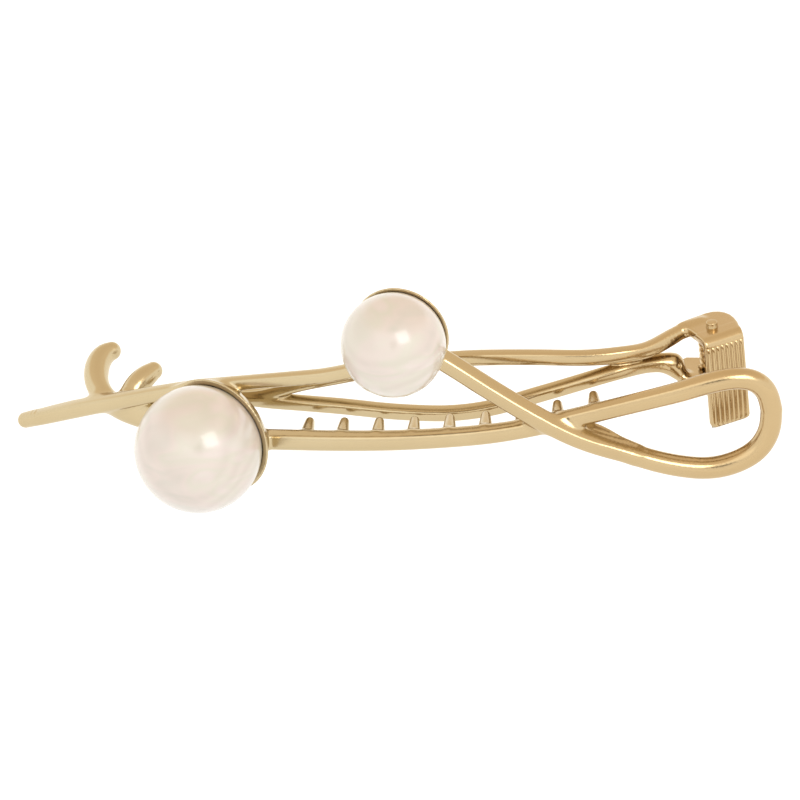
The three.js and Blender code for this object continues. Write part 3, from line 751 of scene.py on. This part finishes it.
def thumb_ribs():
    """The raised ribs on the front of the thumb tab, as one thin sheet bedded into its plate."""
    width, ribs, depth = TAB["width"] - 0.2, TAB["ribs"], TAB["rib"]
    columns, steps = ribs * 12, 40
    top, bottom = LUG_TOP - BEND + 0.1, TAB["bottom"] + 0.1
    sheet = []
    for i in range(steps + 1):
        height = top + (bottom - top) * i / steps
        ease = min(1.0, (top - height) / 0.7, (height - bottom) / 0.3)
        ease = math.sqrt(max(ease, 0.0))
        low = bottom + 0.7 - height
        inset = 0.7 - math.sqrt(max(0.49 - low * low, 0.0)) if low > 0 else 0.0
        row = []
        for j in range(columns + 1):
            share = j / columns
            along = 0.1 + inset + share * (width - 2 * inset)
            wave = max(0.0, math.sin(math.pi * ((share * ribs) % 1.0)))
            rise = (depth + 0.05) * wave ** 0.55 * ease
            row.append(tab_point(along, depth + 0.05 - rise) + (height,))
        sheet.append(row)
    across = columns + 1
    verts, faces = [corner for row in sheet for corner in row], []
    for row in sheet:
        for j, corner in enumerate(row):
            share = j / columns
            along = 0.1 + share * width
            verts.append(tab_point(along, depth + 0.35) + (corner[2],))
    half = len(sheet) * across
    for i in range(steps):
        for j in range(columns):
            a = i * across + j
            faces.append((a, a + across, a + across + 1, a + 1))
            faces.append((half + a, half + a + 1, half + a + across + 1, half + a + across))
        for a, b in ((i * across, half + i * across), (i * across + columns, half + i * across + columns)):
            faces.append((a, b, b + across, a + across))
    for j in range(columns):
        for a in (j, steps * across + j):
            faces.append((a, a + 1, half + a + 1, half + a))
    return outward_piece("thumb_ribs", verts, faces, GOLD)


# Small pieces -------------------------------------------------------------------------------------

PIN = {"radius": 0.75, "head": 0.95, "dome": 0.45, "edge": 0.14, "top": LUG_TOP + 0.8, "bottom": -6.2}
SPRING = {"radius": 1.62, "wire": 0.36, "turns": 4.75, "bottom": -2.6, "top": 1.5, "start": 160}
PEG_HOLE = {"radius": 0.95, "depth_share": 0.3}


def hinge_pin():
    """The pin, with a rounded top stub, a slight collar at the upper lug and a domed head below."""
    radius, edge, head, top = PIN["radius"], PIN["edge"], PIN["head"], PIN["top"]
    under = PIN["bottom"] - 0.02
    profile = [(0, top)]
    for i in range(6):
        angle = math.pi / 2 * i / 5
        profile.append((radius - edge + edge * math.sin(angle), top - edge + edge * math.cos(angle)))
    profile += [(radius, LUG_TOP + 0.12), (radius + 0.06, LUG_TOP + 0.02), (radius, LUG_TOP - 0.1)]
    profile += [(radius, 0.0), (radius, PIN["bottom"]), (head, under)]
    for i in range(1, 6):
        angle = math.pi / 2 * i / 6
        profile.append((head * math.cos(angle), under - PIN["dome"] * math.sin(angle)))
    profile.append((0, under - PIN["dome"]))
    return outward_piece("pin", *lathe(profile, HINGE, (0, 0, 1), 48), GOLD)


def tube(line, radius, sides=14):
    """Vertices and faces of a round wire along a line, with flat ends."""
    line = np.array(line, float)
    tangents = np.gradient(line, axis=0)
    tangents /= np.linalg.norm(tangents, axis=1)[:, None]
    verts, faces = [], []
    side = np.cross(tangents[0], (0, 0, 1.0))
    for centre, tangent in zip(line, tangents):
        side = side - tangent * side.dot(tangent)
        side /= np.linalg.norm(side)
        other = np.cross(tangent, side)
        for s in range(sides):
            a = 2 * math.pi * s / sides
            verts.append(centre + radius * (math.cos(a) * side + math.sin(a) * other))
    for i in range(len(line) - 1):
        for s in range(sides):
            n = (s + 1) % sides
            a, b = i * sides, (i + 1) * sides
            faces.append((a + s, a + n, b + n, b + s))
    faces.append(list(range(sides))[::-1])
    faces.append([(len(line) - 1) * sides + s for s in range(sides)])
    return verts, faces


def torsion_spring():
    """The coil round the pin, with a short straight leg at its lower end."""
    radius, turns, bottom, top = SPRING["radius"], SPRING["turns"], SPRING["bottom"], SPRING["top"]
    steps = int(turns * 48)
    coil = []
    for i in range(steps + 1):
        a = math.radians(SPRING["start"]) - 2 * math.pi * turns * i / steps
        z = bottom + (top - bottom) * i / steps
        coil.append((HINGE[0] + radius * math.cos(a), HINGE[1] + radius * math.sin(a), z))
    start, second = np.array(coil[0]), np.array(coil[1])
    outward = (start - second) / np.linalg.norm(start - second)
    leg = [tuple(start + outward * reach) for reach in (1.0, 0.75, 0.5, 0.25)]
    return outward_piece("spring_coil", *tube(leg + coil, SPRING["wire"]), WIRE)


def pearl_ball(name, size):
    """A bead with a hole at the back for the peg."""
    radius, hole = size["radius"], PEG_HOLE["radius"]
    depth = radius * PEG_HOLE["depth_share"]
    first, last, count = -math.pi / 2, math.acos(hole / radius), 64
    profile = [(0.0, -radius)]
    for i in range(1, count + 1):
        angle = first + (last - first) * i / count
        profile.append((radius * math.cos(angle), radius * math.sin(angle)))
    profile += [(hole, depth), (0.0, depth)]
    return outward_piece(name, *lathe(profile, size["centre"], cup_axis(size), 128), PEARL)


# Assembly -----------------------------------------------------------------------------------------

front = front_casting()
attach(front, "front")
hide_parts("front_tail", "front_upper_strand", "front_cross_rod_upper", "front_cross_rod_lower",
            "end_loop_lower", "end_loop_turn", "end_loop_upper", "front_return_strand",
            "front_lower_strand_middle", "front_lower_strand_pearl", "large_cup", "small_cup",
            *[f"comb_tooth_{i + 1}" for i in range(TOOTH_COUNT)],
            "claw_palm", "claw_prong_long", "claw_prong_short", "front_hinge_ear")

back = back_casting()
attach(back, "back")
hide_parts("back_tip", "back_upper_strand_tip", "back_upper_strand_hinge", "back_lower_strand_tip",
            "back_lower_strand_hinge", "upper_hinge_arm", "lower_hinge_arm", "upper_hinge_lug",
            "lower_hinge_lug", "thumb_tab")

ribs = thumb_ribs()
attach(ribs, "back")

pin = hinge_pin()
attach(pin, "back")
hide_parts("hinge_pin")

spring = torsion_spring()
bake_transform(spring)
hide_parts("torsion_spring")

for label, size in (("large", LARGE), ("small", SMALL)):
    bead = pearl_ball(f"{label}_bead", size)
    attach(bead, "front")
    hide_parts(f"{label}_pearl")
    glue = frame["nodes"][f"{label}_adhesive"].data.materials
    glue.clear()
    glue.append(GLUE)


# Floor, light and camera --------------------------------------------------------------------------

def floor():
    """A wide level sheet under the object."""
    size, count = 1.5, 8
    places = [size * (2 * i / count - 1) for i in range(count + 1)]
    verts = [(x, y, FLOOR_Z) for x in places for y in places]
    corners = [i * (count + 1) + j for i in range(count) for j in range(count)]
    faces = [(a, a + count + 1, a + count + 2, a + 1) for a in corners]
    mesh = bpy.data.meshes.new("floor")
    mesh.from_pydata(verts, [], faces)
    mesh.materials.append(floor_material())
    piece = bpy.data.objects.new("floor", mesh)
    bpy.context.scene.collection.objects.link(piece)


def area_light(name, at, aim, size, power):
    """A square soft light at one place, turned to another."""
    light = bpy.data.lights.new(name, "AREA")
    light.shape = "RECTANGLE"
    light.size = light.size_y = size
    light.energy = power
    holder = bpy.data.objects.new(name, light)
    holder.location = at
    holder.rotation_euler = (Vector(aim) - Vector(at)).to_track_quat("-Z", "Y").to_euler()
    bpy.context.scene.collection.objects.link(holder)


def world():
    """A bright surround with a darker, warmer ceiling and a small dark spot for the metal to reflect."""
    surroundings = bpy.data.worlds.new("studio")
    surroundings.use_nodes = True
    nodes, links = surroundings.node_tree.nodes, surroundings.node_tree.links
    place = nodes.new("ShaderNodeTexCoord")

    def toward(direction):
        """How nearly each way looks in a direction, 1 being straight at it."""
        dot = nodes.new("ShaderNodeVectorMath")
        dot.operation = "DOT_PRODUCT"
        dot.inputs[1].default_value = direction
        links.new(place.outputs["Generated"], dot.inputs[0])
        return dot.outputs["Value"]

    fade = ramp(nodes, links, toward((0.12, 0.29, 0.95)), [
        (0.42, (1.0, 0.99, 0.97)), (0.56, (0.95, 0.89, 0.80)), (0.66, (0.82, 0.69, 0.53)),
        (0.80, (0.84, 0.73, 0.58)), (1.0, (0.79, 0.67, 0.52))])
    spot = ramp(nodes, links, toward((0.184, -0.864, 0.469)), [
        (0.985, (1.0, 1.0, 1.0)), (0.993, (0.03, 0.03, 0.03))])
    both = multiply(nodes, links, fade.outputs["Color"], spot.outputs["Color"])
    links.new(both, nodes["Background"].inputs["Color"])
    nodes["Background"].inputs["Strength"].default_value = 1.35
    bpy.context.scene.world = surroundings


def camera(azimuth, elevation, roll, view_width, distance, aim):
    """A long lens that sees view_width metres across at the aim point."""
    a, e, r = (math.radians(v) for v in (azimuth, elevation, roll))
    back_axis = Vector((math.sin(a) * math.cos(e), -math.cos(a) * math.cos(e), math.sin(e)))
    level = Vector((math.cos(a), math.sin(a), 0))
    upright = back_axis.cross(level)
    right = math.cos(r) * level - math.sin(r) * upright
    up = math.sin(r) * level + math.cos(r) * upright
    lens = bpy.data.cameras.new("camera")
    lens.sensor_width = 36
    lens.lens = 36 * distance / view_width
    lens.clip_start = 0.01
    lens.clip_end = 10
    holder = bpy.data.objects.new("camera", lens)
    spot = Vector(aim) + back_axis * distance
    turn = Matrix((right, up, back_axis)).transposed()
    holder.matrix_world = Matrix.Translation(spot) @ turn.to_4x4()
    bpy.context.scene.collection.objects.link(holder)
    bpy.context.scene.camera = holder


bpy.context.scene.view_settings.view_transform = "Standard"
AIM = tuple(SHIFT * MM)
IMAGE_PIXELS, PIXELS_PER_MM = 800, 7.65
floor()
world()
area_light("key", (0.66, -0.75, 0.85), AIM, 0.6, 4.6)
area_light("fill", (-0.25, -0.95, 0.8), AIM, 0.9, 1.0)
camera(azimuth=12, elevation=28, roll=5, distance=4.0, aim=AIM,
       view_width=IMAGE_PIXELS / PIXELS_PER_MM * MM)
